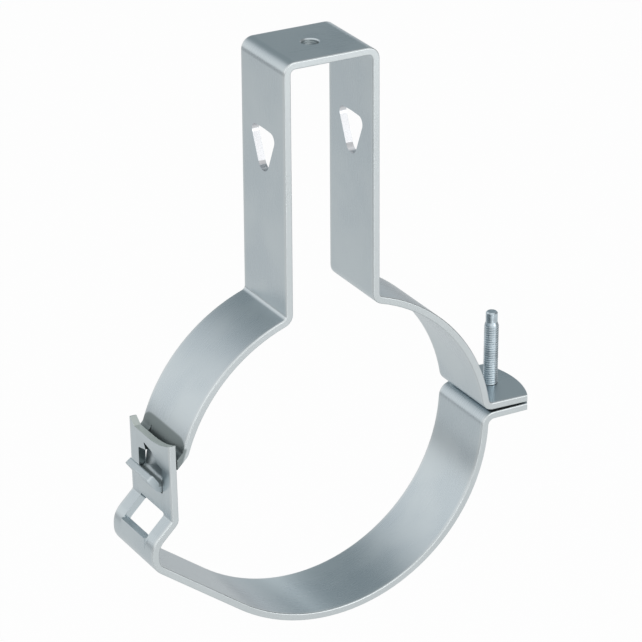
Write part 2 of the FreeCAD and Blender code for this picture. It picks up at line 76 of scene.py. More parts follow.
# Where the marks on the plating lie, in metres and in the part's frame; most of them are painted shade and painted
# light. A pair is a ramp's two ends, or the two bounds between which a mark lies. The bend's angles are those of
# rays from the ring's centre.
LEG_SHEET = (0.01765, 0.02065)
LEG_HOLES = (0.105, 0.150)
LEG_HOLE_REACH = (0.012, 0.010)
RING_CENTRE = (0.0012, -0.0049)
BEND_START = math.radians(158.2)
BEND_MIDDLE = math.radians(161.0)
BEND_FADE = (0.0, 0.0012)
BEND_FACE = (0.0690, 0.0700)
BEND_FOOT = (0.008, 0.010)
BEND_CORNER = 0.003
CORNER_POWER = 10.0
TONGUE = (-0.0690, -0.0700)
GROOVE = (-0.0736, -0.0700)
GROOVE_HEIGHT = (0.0001, 0.0030)
TAPPED_RADIUS_SQUARED = (0.0000123, 0.0000117)
TAPPED_HEIGHT = (0.1615, 0.1618)
TAB_SHEET = (-0.07198, -0.06895)
TAB_LEAN = 0.0175
TAB_BACK = (-0.06905, -0.06875)
TAB_BACK_HEIGHT = (0.002, 0.006)
WINDOW_HEIGHT = (-0.008, 0.0142)
WINDOW_REACH = (0.0125, 0.0115)
NOTCH_HEIGHT = (0.0144, 0.0147)
NOTCH_INSET = (0.0001, 0.0003)
SILL_SIDE = (0.01012, 0.01028)
SILL_HEIGHT = (-0.0256, -0.0199)
SILL_SHEET = (-0.0805, -0.0788)

# The length over which a mark fades in at its bounds, as a rule, in the groove and on the sill.
MARK_SOFTNESS = 0.0001
GROOVE_SOFTNESS = 0.0005
SILL_SOFTNESS = 0.00005

# How strongly each place of painted shade shows, and how matt the worked tongue is beside those places.
BEND_PAINTED_SHADE = 0.85
GROOVE_PAINTED_SHADE = 0.7
TAPPED_PAINTED_SHADE = 0.45
WINDOW_PAINTED_SHADE = 0.8
TAB_BACK_PAINTED_SHADE = 0.3
TONGUE_MATTNESS = 0.6

# The strips' plating: noise scales in cycles to a metre, how far in from the strip's side the painted highlight of
# its rolled edge reaches, and what each pattern adds to the roughness and to the relief.
CLOUDS = 34.0
CRYSTALS = 2600.0
ROLLING = (60.0, 5200.0, 60.0)
CLOUD_RANGE = (0.35, 0.65)
NOISE_MIDDLE = 0.5
ROLLED_EDGE = (0.0022, 0.0002)
EDGE_HIGHLIGHT_SHARE = 0.85
CLOUD_ROUGHNESS = 0.10
ROLLING_ROUGHNESS = 0.06
MATT_ROUGHNESS = 0.3
CRYSTAL_RELIEF = 0.6
ROLLING_RELIEF = 0.4
STRIP_RELIEF = 0.6

# The plating of the screw and washer: its noise scales, the share of its colour that its clouds
# darken to, what the clouds add to its roughness, and its relief.
FASTENER_CLOUDS = 260.0
FASTENER_CRYSTALS = 4200.0
FASTENER_SHADE = 0.82
FASTENER_CLOUD_ROUGHNESS = 0.12
FASTENER_RELIEF = 0.5

# The screw's mesh: columns round it, rings in a pitch, and the pitches over which the thread
# fades out at the shank's ends and over which a cone narrows it to its point. The head's end face
# is a share of its apothem, and the bevel round it has an angle to that face. An edge that turns
# by more than the crease stays sharp.
SCREW_COLUMNS = 96
RINGS_IN_A_PITCH = 14
THREAD_FADE = 1.5
THREAD_CONE = 1.8
HEAD_FLAT = 0.94
HEAD_BEVEL = math.radians(30.0)
SCREW_CREASE = math.radians(42.0)

# The mesh of the hanging thread's ridge: a share of the hole's length, faded out over a share of
# a pitch at each end, and its outer wall buried in the metal by a length.
ROD_COLUMNS = 72
ROD_RINGS = 33
ROD_THREAD_SHARE = 0.8
ROD_FADE = 0.25
ROD_BURIED = 0.00005
ROD_CREASE = math.radians(40.0)

# The floor: its half width, the distances between which it turns greyer, its near paint and its painted shade far
# away, how white the camera and a reflection see it, and how much less white a reflection sees it far away, which
# is painted shade too.
FLOOR_REACH = 12.0
FLOOR_GREYS_BETWEEN = (1.5, 2.3)
FLOOR_PAINT = (0.74, 0.75, 0.75)
FAR_FLOOR_PAINTED_SHADE = (0.42, 0.43, 0.44)
FLOOR_TO_CAMERA = 0.96
FLOOR_TO_METAL = 0.35
FAR_FLOOR_LOSS = 0.15

# The room's grey patches: the way to the middle of each, and the cosines of the angles from it
# with the room's colour there.
WHITE = (1.0, 1.0, 1.0)
PATCH_BEHIND = (0.30, 0.80, 0.52)
PATCH_BEHIND_STOPS = [(0.62, WHITE), (0.80, (0.78, 0.80, 0.82)), (0.94, (0.30, 0.345, 0.365))]
PATCH_BESIDE = (1.0, -0.3, 0.2)
PATCH_BESIDE_STOPS = [(0.60, WHITE), (0.85, (0.32, 0.32, 0.32))]

# The lamps: place, width and height in metres, and share of the front lamp's power.
LAMPS = {
    "front_lamp": ((0.9, -1.6, 0.25), 1.2, 1.2, 1.0),
    "left_lamp": ((-1.8, -0.4, 0.9), 1.2, 1.2, 0.4),
    "low_back_lamp": ((0.30, 0.72, 0.12), 0.30, 0.30, 0.035),
    "low_front_lamp": ((-0.02, -0.80, -0.16), 0.08, 0.40, 0.04),
}

# The camera's sensor in millimetres, and its nearest and farthest sight in metres.
SENSOR_WIDTH = 36.0
CAMERA_CLIP = (0.05, 60.0)


class ClampFinish(bpy.types.PropertyGroup):
    """Colours and textures of the zinc plating."""

    strip_colour: bpy.props.FloatVectorProperty(
        name="Strip colour",
        description="Colour of the satin plating on the two strips",
        subtype="COLOR",
        default=(0.57, 0.63, 0.655),
    )
    strip_shade: bpy.props.FloatVectorProperty(
        name="Strip shade",
        description="Darker, bluer colour that clouds the satin plating",
        subtype="COLOR",
        default=(0.515, 0.578, 0.612),
    )
    # Painted highlight: this lighter colour on the strips' sides stands in for the light that their rounded edges
    # catch.
    edge_highlight_colour: bpy.props.FloatVectorProperty(
        name="Edge highlight colour",
        description="Lighter colour of the strips' rolled edges",
        subtype="COLOR",
        default=(0.64, 0.68, 0.69),
    )
    # Painted highlight: the walls of the legs' holes are painted near white, standing in for the light that they
    # catch.
    hole_wall_highlight_colour: bpy.props.FloatVectorProperty(
        name="Hole wall highlight colour",
        description="Bright colour of the punched walls in the legs' holes",
        subtype="COLOR",
        default=(0.70, 0.71, 0.73),
    )
    # Painted shade: this dark colour stands in for the shadow and dark reflections in the hook's bend, the
    # tongue's groove, the tab's window and back and the tapped hole.
    painted_shade_colour: bpy.props.FloatVectorProperty(
        name="Painted shade colour",
        description="Dark colour of the hook's bend, the tab's window and the tapped hole",
        subtype="COLOR",
        default=(0.20, 0.235, 0.235),
    )
    notch_colour: bpy.props.FloatVectorProperty(
        name="Notch colour",
        description="Colour of the matt cut faces at the top of the band's tab",
        subtype="COLOR",
        default=(0.62, 0.665, 0.64),
    )
    # Painted light: this near white lifts the shade that falls on the ends of the shelf window's sill.
    sill_painted_light_colour: bpy.props.FloatVectorProperty(
        name="Sill colour",
        description="Bright colour of the brightened ends of the shelf window's sill",
        subtype="COLOR",
        default=(0.95, 0.97, 0.98),
    )
    screw_colour: bpy.props.FloatVectorProperty(
        name="Screw colour",
        description="Colour of the bright bluish plating on the screw and washer",
        subtype="COLOR",
        default=(0.575, 0.66, 0.71),
    )
    strip_roughness: bpy.props.FloatProperty(
        name="Strip roughness",
        description="How far the satin plating spreads a reflection",
        subtype="FACTOR",
        min=0.0,
        max=1.0,
        default=0.28,
    )
    screw_roughness: bpy.props.FloatProperty(
        name="Screw roughness",
        description="How far the screw's plating spreads a reflection",
        subtype="FACTOR",
        min=0.0,
        max=1.0,
        default=0.27,
    )
    grain_depth: bpy.props.FloatProperty(
        name="Grain depth",
        description="Height of the fine crystals of the plating",
        subtype="DISTANCE",
        unit="LENGTH",
        default=0.000006,
        precision=6,
    )


class ClampThreads(bpy.types.PropertyGroup):
    """Sizes of the threads that the solids leave plain."""

    screw_pitch: bpy.props.FloatProperty(
        name="Screw pitch",
        description="Rise of the clamp screw's thread in one turn",
        subtype="DISTANCE",
        unit="LENGTH",
        default=0.001,
    )
    screw_depth: bpy.props.FloatProperty(
        name="Screw thread depth",
        description="Depth of the clamp screw's thread below its crests",
        subtype="DISTANCE",
        unit="LENGTH",
        default=0.00025,
    )
    rod_pitch: bpy.props.FloatProperty(
        name="Hanging thread pitch",
        description="Rise of the top plate's thread in one turn",
        subtype="DISTANCE",
        unit="LENGTH",
        default=0.00125,
    )
    rod_depth: bpy.props.FloatProperty(
        name="Hanging thread ridge",
        description="How far the top plate's thread stands out of the hole's wall",
        subtype="DISTANCE",
        unit="LENGTH",
        default=0.00012,
    )


class ClampStage(bpy.types.PropertyGroup):
    """Camera, floor and lamps."""

    azimuth: bpy.props.FloatProperty(
        name="Camera azimuth",
        description="Turn of the camera about the upright, from straight in front",
        subtype="ANGLE",
        unit="ROTATION",
        default=math.radians(-28.506),
    )
    elevation: bpy.props.FloatProperty(
        name="Camera elevation",
        description="Angle of the camera above the horizon",
        subtype="ANGLE",
        unit="ROTATION",
        default=math.radians(23.983),
    )
    roll: bpy.props.FloatProperty(
        name="Camera roll",
        description="Turn of the camera about its own line of sight",
        subtype="ANGLE",
        unit="ROTATION",
        default=math.radians(-0.408),
    )
    distance: bpy.props.FloatProperty(
        name="Camera distance",
        description="From the camera to the point that it looks at",
        subtype="DISTANCE",
        unit="LENGTH",
        default=1.4846,
    )
    target: bpy.props.FloatVectorProperty(
        name="Camera target",
        description="The point in the middle of the picture",
        subtype="TRANSLATION",
        default=(0.0039, 0.0, 0.04975),
    )
    lens: bpy.props.FloatProperty(
        name="Camera lens",
        description="Focal length on a 36 mm wide sensor, in millimetres",
        default=212.0,
    )
    floor_drop: bpy.props.FloatProperty(
        name="Floor drop",
        description="How far the floor lies below the hanging clamp",
        subtype="DISTANCE",
        unit="LENGTH",
        default=0.30,
    )
    lamp_power: bpy.props.FloatProperty(
        name="Lamp power",
        description="Power of the front lamp, from which the others follow",
        unit="POWER",
        default=6.0,
    )


class Wire:
    """A shader socket that takes part in plain arithmetic; each operation adds a Math node."""

    def __init__(self, graph, socket):
        self.graph = graph
        self.socket = socket

    def math(self, operation, *values):
        """The result of one Math operation on these values, of which some are wires."""
        inputs = dict(enumerate(values))
        return self.graph.node("ShaderNodeMath", {"operation": operation}, inputs).out("Value")

    def __add__(self, other):
        return self.math("ADD", self, other)

    __radd__ = __add__

    def __sub__(self, other):
        return self.math("SUBTRACT", self, other)

    def __rsub__(self, other):
        return self.math("SUBTRACT", other, self)

    def __mul__(self, other):
        return self.math("MULTIPLY", self, other)

    __rmul__ = __mul__

    def __pow__(self, other):
        return self.math("POWER", self, other)

    def __rpow__(self, other):
        return self.math("POWER", other, self)

    def __abs__(self):
        return self.math("ABSOLUTE", self)

    def larger(self, other):
        """The larger of two values."""
        return self.math("MAXIMUM", self, other)


class Placed:
    """A node in a graph, with its outputs by name."""

    def __init__(self, graph, made):
        self.graph = graph
        self.made = made

    def out(self, name):
        """The named output as a wire."""
        return Wire(self.graph, self.made.outputs[name])


class Graph:
    """The node tree of one material or of the world."""

    def __init__(self, tree):
        self.tree = tree
        self.tree.nodes.clear()

    def node(self, kind, settings=None, inputs=None):
        """Adds a node, sets its settings first, then gives its sockets values or links."""
        made = self.tree.nodes.new(kind)
        for name, value in (settings or {}).items():
            if name == "stops":
                self.set_stops(made.color_ramp, value)
            else:
                setattr(made, name, value)
        for name, value in (inputs or {}).items():
            socket = made.inputs[name]
            if isinstance(value, Wire):
                self.tree.links.new(value.socket, socket)
            else:
                socket.default_value = value
        return Placed(self, made)

    @staticmethod
    def set_stops(ramp, stops):
        """Gives a colour ramp its stops, each a place and a colour."""
        while len(ramp.elements) < len(stops):
            ramp.elements.new(1.0)
        for element, (place, colour) in zip(ramp.elements, stops):
            element.position = place
            element.color = opaque(colour)

    def noise(self, vector, scale, detail=2.0):
        """A noise value from 0 to 1 about a vector."""
        inputs = {"Vector": vector, "Scale": scale, "Detail": detail}
        return self.node("ShaderNodeTexNoise", None, inputs).out("Fac")

    def blend(self, factor, first, second, how="MIX"):
        """A mix of two colours, or another blend of them."""
        settings = {"data_type": "RGBA", "blend_type": how}
        inputs = {0: factor, 6: first, 7: second}
        made = self.node("ShaderNodeMix", settings, inputs)
        return Wire(self, made.made.outputs[2])

    def ramp_between(self, value, low, high):
        """A smooth rise from 0 to 1 while a value goes from low to high."""
        settings = {"interpolation_type": "SMOOTHSTEP"}
        inputs = {"Value": value, "From Min": low, "From Max": high}
        return self.node("ShaderNodeMapRange", settings, inputs).out("Result")


def opaque(colour):
    """A colour with full alpha, as a shader socket takes it."""
    return (*colour, 1.0)


def new_material(name):
    """An empty material and its graph."""
    material = bpy.data.materials.new(name)
    material.use_nodes = True
    return material, Graph(material.node_tree)


def metal(graph, colour, roughness, height, strength):
    """A bare metal surface of a colour and a roughness, with a fine relief."""
    finish = bpy.context.scene.clamp_finish
    relief = {"Height": height, "Distance": finish.grain_depth, "Strength": strength}
    bump = graph.node("ShaderNodeBump", None, relief).out("Normal")
    inputs = {"Base Color": colour, "Metallic": 1.0, "Roughness": roughness, "Normal": bump}
    shader = graph.node("ShaderNodeBsdfPrincipled", None, inputs).out("BSDF")
    graph.node("ShaderNodeOutputMaterial", None, {"Surface": shader})


def satin_strip(name, mark):
    """Satin zinc on rolled strip: soft clouds, fine crystals, rolling lines along the strip, rolled edges painted
    lighter as a painted highlight, and the colour and mattness that the mark function adds, which hold painted
    shade and painted light."""
    finish = bpy.context.scene.clamp_finish
    material, graph = new_material(name)
    place = graph.node("ShaderNodeTexCoord").out("Object")
    stretch = {"Vector": place, "Scale": ROLLING}
    along = graph.node("ShaderNodeMapping", None, stretch).out("Vector")
    clouds = graph.noise(place, CLOUDS)
    crystals = graph.noise(place, CRYSTALS, 3.0)
    rolling = graph.noise(along, 1.0)
    axes = graph.node("ShaderNodeSeparateXYZ", None, {"Vector": place})
    half_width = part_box("upper_bracket")[1].y
    side = abs(axes.out("Y"))
    # Painted highlight: the rolled edges are painted lighter, standing in for the light that their rounding
    # catches.
    edge = graph.ramp_between(side, half_width - ROLLED_EDGE[0], half_width - ROLLED_EDGE[1])
    cloudy = graph.ramp_between(clouds, *CLOUD_RANGE)
    body = graph.blend(cloudy, opaque(finish.strip_shade), opaque(finish.strip_colour))
    colour = graph.blend(edge * EDGE_HIGHLIGHT_SHARE, body, opaque(finish.edge_highlight_colour))
    colour, matt = mark(graph, axes, colour)
    roughness = finish.strip_roughness + (clouds - NOISE_MIDDLE) * CLOUD_ROUGHNESS
    roughness = roughness + (rolling - NOISE_MIDDLE) * ROLLING_ROUGHNESS + matt * MATT_ROUGHNESS
    height = crystals * CRYSTAL_RELIEF + rolling * ROLLING_RELIEF
    metal(graph, colour, roughness, height, STRIP_RELIEF)
    return material


def between(graph, value, bounds, soft=MARK_SOFTNESS):
    """A mask that is 1 where a value lies well between two bounds and falls to 0 at each."""
    low, high = bounds
    return graph.ramp_between(value, low, low + soft) * graph.ramp_between(value, high, high - soft)


def bracket_marks(graph, axes, colour):
    """The colour with a painted highlight on the bracket's hole walls and painted shade in its hook's bend, where
    the tab casts its shadow and dark reflection, in the groove of its tongue and in its tapped hole, and a mask of
    the matt places, which are the places of painted shade and the tongue. The hole walls lie inside the sheet of a
    leg, near its middle, at the holes' height.
    The bend starts past a ray from the ring's centre, on the ring's outer side, and its start
    falls back at the strip's edges as a high power of their nearness. The tapped hole is where
    the squares of X and Y add up to little."""
    finish = bpy.context.scene.clamp_finish
    x, y, z = axes.out("X"), abs(axes.out("Y")), axes.out("Z")
    # Painted highlight on the walls of the legs' holes.
    walls = between(graph, abs(x), LEG_SHEET) * between(graph, z, LEG_HOLES)
    walls = walls * graph.ramp_between(y, *LEG_HOLE_REACH)
    colour = graph.blend(walls, colour, opaque(finish.hole_wall_highlight_colour))
    # Painted shade in the hook's bend: the ring behind the tab is darkened where the tab casts its shadow and dark
    # reflection.
    across, rise = x - RING_CENTRE[0], z - RING_CENTRE[1]
    past = rise * math.cos(BEND_START) - across * math.sin(BEND_START)
    out = across * math.cos(BEND_MIDDLE) + rise * math.sin(BEND_MIDDLE)
    half_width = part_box("upper_bracket")[1].y
    corner = (y * (1.0 / half_width)) ** CORNER_POWER
    bend = graph.ramp_between(past - corner * BEND_CORNER, *BEND_FADE)
    bend = bend * graph.ramp_between(out, *BEND_FACE) * graph.ramp_between(z, *BEND_FOOT)
    # Painted shade in the groove inside the tongue's hook and in the recess of the tapped hole.
    groove = between(graph, x, GROOVE, GROOVE_SOFTNESS) * between(graph, z, GROOVE_HEIGHT)
    tapped = graph.ramp_between(x * x + y * y, *TAPPED_RADIUS_SQUARED)
    tapped = tapped * graph.ramp_between(z, *TAPPED_HEIGHT)
    painted_shade = bend * BEND_PAINTED_SHADE + groove * GROOVE_PAINTED_SHADE + tapped * TAPPED_PAINTED_SHADE
    tongue = graph.ramp_between(x, *TONGUE) * TONGUE_MATTNESS
    return graph.blend(painted_shade, colour, opaque(finish.painted_shade_colour)), painted_shade.larger(tongue)


def band_marks(graph, axes, colour):
    """The colour with painted shade on the band's tab window walls and on the tab's back, the matt cut notch, and
    painted light on the sill's ends that lifts their shade, and a mask of the matt places. The walls lie inside
    the tab's sheet, whose depth follows its lean, near its middle, at the window's height. The back is the sheet's
    rear face above its foot. The notch lies in the sheet above the window, and the sill's ends at the shelf
    window's sides, out at the heel."""
    finish = bpy.context.scene.clamp_finish
    x, y, z = axes.out("X"), abs(axes.out("Y")), axes.out("Z")
    depth = x + z * TAB_LEAN
    sheet = between(graph, depth, TAB_SHEET)
    # Painted shade on the walls of the tab's window and on the tab's back, where shade falls.
    walls = sheet * between(graph, z, WINDOW_HEIGHT) * graph.ramp_between(y, *WINDOW_REACH)
    rear = between(graph, depth, TAB_BACK) * graph.ramp_between(z, *TAB_BACK_HEIGHT)
    half_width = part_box("lower_band")[1].y
    inward = graph.ramp_between(y, half_width - NOTCH_INSET[0], half_width - NOTCH_INSET[1])
    notch = sheet * graph.ramp_between(z, *NOTCH_HEIGHT) * inward
    colour = graph.blend(notch, colour, opaque(finish.notch_colour))
    # Painted light: the ends of the sill are painted near white to lift the shade on them.
    sill = between(graph, y, SILL_SIDE, SILL_SOFTNESS) * between(graph, z, SILL_HEIGHT)
    sill = sill * between(graph, x, SILL_SHEET)
    colour = graph.blend(sill, colour, opaque(finish.sill_painted_light_colour))
    painted_shade = walls * WINDOW_PAINTED_SHADE + rear * TAB_BACK_PAINTED_SHADE
    return graph.blend(painted_shade, colour, opaque(finish.painted_shade_colour)), notch


def bright_fastener(name):
    """Bright bluish zinc on the screw and washer: faint clouds and a fine grain."""
    finish = bpy.context.scene.clamp_finish
    material, graph = new_material(name)
    place = graph.node("ShaderNodeTexCoord").out("Object")
    clouds = graph.noise(place, FASTENER_CLOUDS)
    crystals = graph.noise(place, FASTENER_CRYSTALS)
    shade = tuple(FASTENER_SHADE * part for part in finish.screw_colour)
    cloudy = graph.ramp_between(clouds, *CLOUD_RANGE)
    colour = graph.blend(cloudy, opaque(shade), opaque(finish.screw_colour))
    roughness = finish.screw_roughness + (clouds - NOISE_MIDDLE) * FASTENER_CLOUD_ROUGHNESS
    metal(graph, colour, roughness, crystals, FASTENER_RELIEF)
    return material


def material_named(name, make, *values):
    """The material of that name, made the first time it is asked for."""
    return bpy.data.materials.get(name) or make(name, *values)


def dress_node(node, material):
    """Gives a CAD node a material in all its slots."""
    for slot in frame["nodes"][node].material_slots:
        slot.material = material


def ring_quads(rings, columns, steps):
    """Faces from each of the first rings, as many as the steps, to the ring after it, where the
    first ring comes after the last. Point numbers run round each ring."""
    ring, column = np.meshgrid(np.arange(steps), np.arange(columns), indexing="ij")
    above, beside = (ring + 1) % rings, (column + 1) % columns
    corners = [(ring, column), (ring, beside), (above, beside), (above, column)]
    return np.stack([row * columns + place for row, place in corners], axis=-1).reshape(-1, 4)


def turned_mesh(name, rows, bottom, top):
    """A closed mesh from rings of points, rows[ring, column], joined up the rows and shut by a
    point at each end."""
    rings, columns = rows.shape[:2]
    points = np.vstack([rows.reshape(-1, 3), bottom, top])
    quads = ring_quads(rings, columns, rings - 1)
    around = np.arange(columns)
    beside = (around + 1) % columns
    foot = np.stack([beside, around, np.full(columns, rings * columns)], axis=-1)
    last = (rings - 1) * columns
    tip = np.full(columns, rings * columns + 1)
    cap = np.stack([last + around, last + beside, tip], axis=-1)
    mesh = bpy.data.meshes.new(name)
    mesh.from_pydata(points.tolist(), [], quads.tolist() + foot.tolist() + cap.tolist())
    mesh.validate()
    return mesh


def add_piece(name, mesh, body, material, crease):
    """Puts a mesh into the scene as a piece of the object, with edges sharp above the crease
    angle."""
    mesh.shade_smooth()
    mesh.set_sharp_from_angle(angle=crease)
    mesh.materials.append(material)
    piece = bpy.data.objects.new(name, mesh)
    bpy.context.scene.collection.objects.link(piece)
    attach(piece, body)
    return piece


def node_points(node):
    """A CAD node's vertices as one array."""
    vertices = frame["nodes"][node].data.vertices
    points = np.zeros(len(vertices) * 3)
    vertices.foreach_get("co", points)
    return points.reshape(-1, 3)


def screw_axis():
    """A point on the clamp screw's axis and the unit vectors across, along Y and up the axis."""
    joint = JOINTS["screw_turn"]
    up = -np.array(joint["axis"], float)
    up /= np.linalg.norm(up)
    along = np.array([0.0, 1.0, 0.0])
    across = np.cross(along, up)
    return np.array(joint["pos_m"], float), across, along, up


def thread_height(height, angle, pitch):
    """Share of a rolled thread's depth, 0 at its root and 1 at its crest. The crests run along a
    right-hand helix, so the phase is the height in pitches less the turn, and the worn, plated
    profile is rounded: half of one plus the phase's cosine."""
    phase = height / pitch - angle / math.tau
    return 0.5 + 0.5 * np.cos(math.tau * phase)


def screw_sizes():
    """The screw's heights above the foot of its head and its radii, read from the CAD node. The
    vertices well outside the shank's radius are the head's, those well inside it the point's, and
    a hair tells one edge's height from the next."""
    wider, narrower, hair = 1.2, 0.9, 1e-5
    origin, across, along, up = screw_axis()
    offset = node_points("clamp_screw") - origin
    height = offset @ up
    radius = np.hypot(offset @ across, offset @ along)
    foot = height.min()
    height = height - foot
    total = height.max()
    shank = radius[height > total / 2].max()
    head = height[radius > wider * shank].max()
    point = height[(radius < narrower * shank) & (height > total / 2)].min()
    tip = radius[height > total - hair].max()
    point_radius = radius[height > point + hair].max()
    return {
        "foot": foot,
        "total": total,
        "head": head,
        "shank": shank,
        "point": point,
        "point_radius": point_radius,
        "tip": tip,
        "apothem": np.abs(offset @ along).max(),
    }


def screw_rows():
    """Rings of the screw from its head's foot to its tip, and the two closing points. A ring is a
    height and a radius about the axis. In the head the radius is the hexagon's, its apothem over
    the cosine of the turn from the nearest flat's middle, and a cone cuts the corners. On the
    shank it is the crest radius less the thread's depth times one less the thread's height, and
    at the top it stays inside a cone."""
    threads = bpy.context.scene.clamp_threads
    pitch = threads.screw_pitch
    size = screw_sizes()
    angle = np.linspace(0.0, math.tau, SCREW_COLUMNS, endpoint=False)
    plain = np.ones_like(angle)
    hexagon = size["apothem"] / np.cos(angle % (math.tau / 6) - math.tau / 12)
    flat = HEAD_FLAT * size["apothem"]
    bevel = (hexagon - flat) * math.tan(HEAD_BEVEL)
    count = int(round(RINGS_IN_A_PITCH * (size["point"] - size["head"]) / pitch))
    height = np.linspace(size["head"], size["point"], count)[:, None]
    from_end = np.minimum(height - size["head"], size["point"] - height)
    share = np.clip(from_end / (THREAD_FADE * pitch), 0.0, 1.0)
    crest = thread_height(height, angle, pitch)
    thread = size["shank"] - threads.screw_depth * share * (1.0 - crest)
    top = np.clip((size["point"] - height) / (THREAD_CONE * pitch), 0.0, 1.0)
    cone = size["point_radius"] + (size["shank"] - size["point_radius"]) * top
    shoulder = size["total"] - (size["point_radius"] - size["tip"])
    rings = [
        (0.0, flat),
        (bevel, hexagon),
        (size["head"], hexagon),
        (size["head"], size["shank"]),
        (height, np.minimum(thread, cone)),
        (size["point"], size["point_radius"]),
        (shoulder, size["point_radius"]),
        (size["total"], size["tip"]),
    ]
    heights = np.vstack([level * plain for level, _ in rings])
    radii = np.vstack([radius * plain for _, radius in rings])
    return place_on_axis(heights + size["foot"], radii, angle)


def place_on_axis(heights, radii, angle):
    """Points at heights and radii about the screw's axis, and the axis points at the first and
    last height."""
    origin, across, along, up = screw_axis()
    ring = np.cos(angle)[None, :, None] * across + np.sin(angle)[None, :, None] * along
    rows = origin + heights[..., None] * up + radii[..., None] * ring
    return rows, origin + heights[0].min() * up, origin + heights[-1].max() * up


def rod_thread_mesh():
    """The ridge of the thread in the top plate's hole, as a closed sleeve. Its outer wall lies
    just inside the metal, and its inner wall is the hole's radius less the ridge's height on a
    right-hand helix. At both ends the inner wall sinks into the metal."""
    threads = bpy.context.scene.clamp_threads
    middle = np.array(HANGING_THREAD["pos_m"], float)
    radius = HANGING_THREAD["dims"]["r_mm"] / 1000.0
    length = ROD_THREAD_SHARE * HANGING_THREAD["dims"]["length_mm"] / 1000.0
    columns = ROD_COLUMNS
    angle = np.linspace(0.0, math.tau, columns, endpoint=False)
    heights = np.linspace(-length / 2, length / 2, ROD_RINGS)
    crest = thread_height(heights[:, None], angle[None, :], threads.rod_pitch)
    from_end = length / 2 - np.abs(heights)
    ends = np.clip(from_end / (ROD_FADE * threads.rod_pitch), 0.0, 1.0)[:, None]
    inner = radius + ROD_BURIED - (threads.rod_depth * crest + ROD_BURIED) * ends
    outer = np.full((2, columns), radius + 2.0 * ROD_BURIED)
    radii = np.vstack([outer[:1], inner, outer[1:]])
    levels = np.concatenate([heights[:1], heights, heights[-1:]])
    rows = np.stack(
        [
            middle[0] + radii * np.cos(angle),
            middle[1] + radii * np.sin(angle),
            middle[2] + np.repeat(levels[:, None], columns, axis=1),
        ],
        axis=-1,
    )
    facing_the_axis = [0, 3, 2, 1]
    quads = ring_quads(len(rows), columns, len(rows))[:, facing_the_axis]
    mesh = bpy.data.meshes.new("hanging_thread_ridge")
    mesh.from_pydata(rows.reshape(-1, 3).tolist(), [], quads.tolist())
    mesh.validate()
    return mesh


class PIPECLAMP_OT_finish_strips(bpy.types.Operator):
    """Plate the bracket and the band in satin zinc"""

    bl_idname = "pipe_clamp.finish_strips"
    bl_label = "Finish strips"

    def execute(self, context):
        bracket = material_named("satin_zinc_bracket", satin_strip, bracket_marks)
        band = material_named("satin_zinc_band", satin_strip, band_marks)
        dress_node("upper_bracket", bracket)
        dress_node("lower_band", band)
        return {"FINISHED"}


class PIPECLAMP_OT_finish_washer(bpy.types.Operator):
    """Plate the washer under the screw's head in bright zinc"""

    bl_idname = "pipe_clamp.finish_washer"
    bl_label = "Finish washer"

    def execute(self, context):
        dress_node("retaining_washer", material_named("bright_zinc_fastener", bright_fastener))
        return {"FINISHED"}


class PIPECLAMP_OT_cut_screw(bpy.types.Operator):
    """Replace the plain screw by one with its thread, chamfered head and turned point"""

    bl_idname = "pipe_clamp.cut_screw"
    bl_label = "Cut screw thread"

    def execute(self, context):
        mesh = turned_mesh("threaded_clamp_screw", *screw_rows())
        material = material_named("bright_zinc_fastener", bright_fastener)
        name, slot = "threaded_clamp_screw", "plated_fastener"
        piece = add_piece(name, mesh, "screw", material, SCREW_CREASE)
        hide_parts("clamp_screw")
        return {"FINISHED"}


class PIPECLAMP_OT_cut_rod_thread(bpy.types.Operator):
    """Add the thread's ridge in the top plate's hole"""

    bl_idname = "pipe_clamp.cut_rod_thread"
    bl_label = "Cut hanging thread"

    def execute(self, context):
        material = material_named("satin_zinc_bracket", satin_strip, bracket_marks)
        name, slot = "hanging_thread_ridge", "plated_strip"
        add_piece(name, rod_thread_mesh(), "bracket", material, ROD_CREASE)
        return {"FINISHED"}


def white_floor():
    """A pale floor that the camera sees nearly pure white, reflections see a little greyer, and that keeps its
    shadow. Out of the camera's sight, far from the clamp, painted shade makes it greyer still."""
    material, graph = new_material("white_floor")
    place = graph.node("ShaderNodeTexCoord").out("Object")
    distance = graph.node("ShaderNodeVectorMath", {"operation": "LENGTH"}, {0: place}).out("Value")
    far = graph.ramp_between(distance, *FLOOR_GREYS_BETWEEN)
    rays = graph.node("ShaderNodeLightPath")
    reflected = rays.out("Is Glossy Ray") * (FLOOR_TO_METAL - far * FAR_FLOOR_LOSS)
    seen = rays.out("Is Camera Ray") * FLOOR_TO_CAMERA + reflected
    # Painted shade: far away the floor is painted greyer and glows less in reflections, standing in for light that
    # falls off away from the lamps.
    paint_and_far_shade = graph.blend(far, opaque(FLOOR_PAINT), opaque(FAR_FLOOR_PAINTED_SHADE))
    matt = graph.node("ShaderNodeBsdfDiffuse", None, {"Color": paint_and_far_shade}).out("BSDF")
    glow = graph.node("ShaderNodeEmission", None, {"Color": opaque(WHITE), "Strength": 1.0})
    shares = {0: seen, 1: matt, 2: glow.out("Emission")}
    mixed = graph.node("ShaderNodeMixShader", None, shares).out("Shader")
    graph.node("ShaderNodeOutputMaterial", None, {"Surface": mixed})
    return material


def add_floor(drop):
    """A wide flat floor below the clamp."""
    reach, level = FLOOR_REACH, CAD_BOX[0].z - drop
    near = [(-reach, -reach, level), (reach, -reach, level)]
    away = [(reach, reach, level), (-reach, reach, level)]
    mesh = bpy.data.meshes.new("floor")
    mesh.from_pydata(near + away, [], [(0, 1, 2, 3)])
    mesh.materials.append(white_floor())
    floor = bpy.data.objects.new("floor", mesh)
    bpy.context.scene.collection.objects.link(floor)


